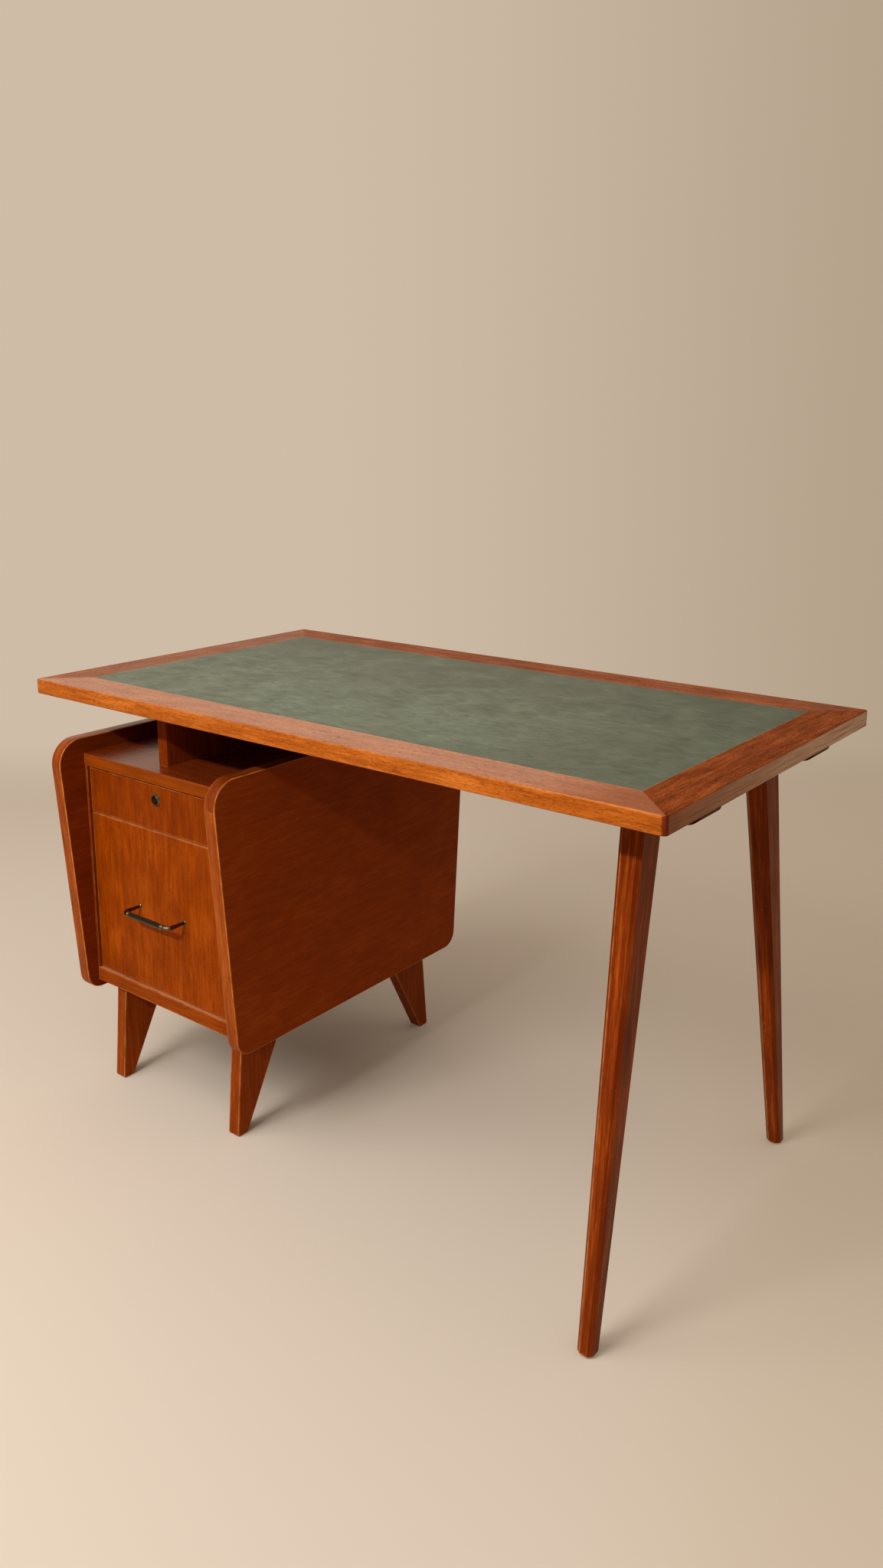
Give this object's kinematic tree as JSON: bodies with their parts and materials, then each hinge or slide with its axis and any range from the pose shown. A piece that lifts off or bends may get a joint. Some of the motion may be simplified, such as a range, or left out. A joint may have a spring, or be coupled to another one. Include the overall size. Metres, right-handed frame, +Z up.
{
  "type": "writing desk",
  "caption": "Writing desk with a let-in writing sheet, splayed tapered legs at one end and a drawer pedestal on short legs at the other, joined to the top by a riser board.",
  "frame": {"origin": "on the floor under the middle of the tabletop", "axes": "+X along the tabletop from the pedestal to the open end, +Y from the sitter to the back, +Z up"},
  "size_m": [1.2, 0.65, 0.76],
  "materials": {
    "stained_oak": "red-brown stained open-pored oak veneer, satin lacquer",
    "lipping_oak": "solid oak edge strip, lighter orange-brown, worn arrises",
    "leatherette": "mottled grey-green embossed leatherette, matte",
    "drawer_wood": "pale unfinished hardwood",
    "brass": "worn satin brass",
    "nickel": "tarnished nickel plate",
    "steel": "aged plated steel",
    "grip_lacquer": "glossy dark grey-green lacquer"
  },
  "bodies": {
    "desk": {"cleat_screws": "steel", "dowels": "drawer_wood", "front_rail": "stained_oak", "leg_cleat_back": "stained_oak", "leg_cleat_front": "stained_oak", "leg_dowels": "drawer_wood", "lipping_back_left": "lipping_oak", "lipping_back_right": "lipping_oak", "lipping_front_left": "lipping_oak", "lipping_front_right": "lipping_oak", "lipping_top_left": "lipping_oak", "lipping_top_right": "lipping_oak", "long_leg_back": "stained_oak", "long_leg_front": "stained_oak", "pedestal_back": "stained_oak", "pedestal_bottom": "stained_oak", "pedestal_top": "stained_oak", "riser_board": "stained_oak", "runner_lower_left": "drawer_wood", "runner_lower_right": "drawer_wood", "runner_screws": "steel", "runner_upper_left": "drawer_wood", "runner_upper_right": "drawer_wood", "short_leg_back_left": "stained_oak", "short_leg_back_right": "stained_oak", "short_leg_front_left": "stained_oak", "short_leg_front_right": "stained_oak", "short_leg_screws": "steel", "side_panel_left": "stained_oak", "side_panel_right": "stained_oak", "stile_left": "stained_oak", "stile_right": "stained_oak", "strike_plate": "steel", "top_border_back": "stained_oak", "top_border_front": "stained_oak", "top_border_left": "stained_oak", "top_border_right": "stained_oak", "top_core": "stained_oak", "writing_inlay": "leatherette"},
    "upper_drawer": {"lock_case": "steel", "lock_rosette": "nickel", "lock_screws": "steel", "upper_drawer_back": "drawer_wood", "upper_drawer_bottom": "drawer_wood", "upper_drawer_front": "stained_oak", "upper_drawer_side_left": "drawer_wood", "upper_drawer_side_right": "drawer_wood"},
    "lower_drawer": {"handle_arm_left": "steel", "handle_arm_right": "steel", "handle_ferrules": "brass", "handle_grip": "grip_lacquer", "handle_screws": "steel", "lower_drawer_back": "drawer_wood", "lower_drawer_bottom": "drawer_wood", "lower_drawer_front": "stained_oak", "lower_drawer_side_left": "drawer_wood", "lower_drawer_side_right": "drawer_wood"},
    "lock_cylinder": {"lock_cylinder": "brass"},
    "lock_bolt": {"lock_bolt": "steel"}
  },
  "joints": [
    {"name": "upper_drawer_slide", "type": "slide", "parent": "desk", "child": "upper_drawer", "axis": [0, -1, 0], "range_m": [0, 0.34]},
    {"name": "lower_drawer_slide", "type": "slide", "parent": "desk", "child": "lower_drawer", "axis": [0, -1, 0], "range_m": [0, 0.34]},
    {"name": "lock_turn", "type": "hinge", "parent": "upper_drawer", "child": "lock_cylinder", "pos_m": [-0.38, -0.25, 0.5694], "axis": [0, -1, 0], "range_deg": [0, 90]},
    {"name": "bolt_throw", "type": "slide", "parent": "upper_drawer", "child": "lock_bolt", "axis": [0, 0, 1], "range_m": [0, 0.007]}
  ],
  "couplings": [
    {"joint": "bolt_throw", "follows": "lock_turn", "m_per_rad": 0.0044563}
  ]
}
